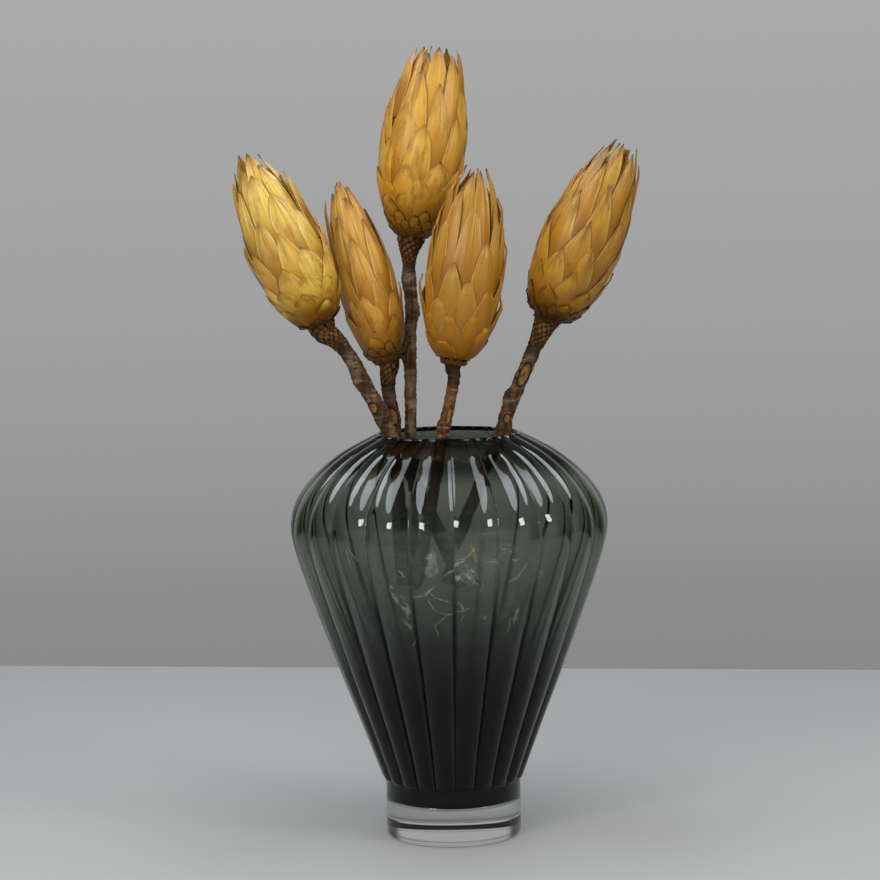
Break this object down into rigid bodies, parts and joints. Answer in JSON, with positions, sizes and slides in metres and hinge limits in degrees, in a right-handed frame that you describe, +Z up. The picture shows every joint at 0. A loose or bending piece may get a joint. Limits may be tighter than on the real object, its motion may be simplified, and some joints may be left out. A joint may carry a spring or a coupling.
{
  "type": "protea flower arrangement in a vase",
  "caption": "Dried protea flower heads on bare woody stems, standing in a fluted vase of smoked glass with a thick clear foot, for table decoration.",
  "frame": {"origin": "centre of the underside of the vase's foot, on the surface that the vase stands on", "axes": "+Z up along the vase's axis; -Y towards the front, +X to the right as seen from the front"},
  "size_m": [0.208, 0.164, 0.4113],
  "materials": {
    "smoked_glass": "smoked grey-green blown glass, clear and glossy",
    "clear_glass": "thick clear polished glass",
    "film": "crumpled clear film, glossy",
    "bark": "dry brown bark, matt",
    "bract": "dried waxy bracts, ochre with brown edges, semi-gloss"
  },
  "bodies": {
    "root": {"vase_foot": "clear_glass", "vase_body": "smoked_glass", "crumpled_film": "film", "bloom_far_left": "bract", "stem_far_left": "bark", "bloom_left": "bract", "stem_left": "bark", "bloom_centre_tall": "bract", "stem_centre_tall": "bark", "bloom_front": "bract", "stem_front": "bark", "bloom_right": "bract", "stem_right": "bark"}
  },
  "joints": []
}
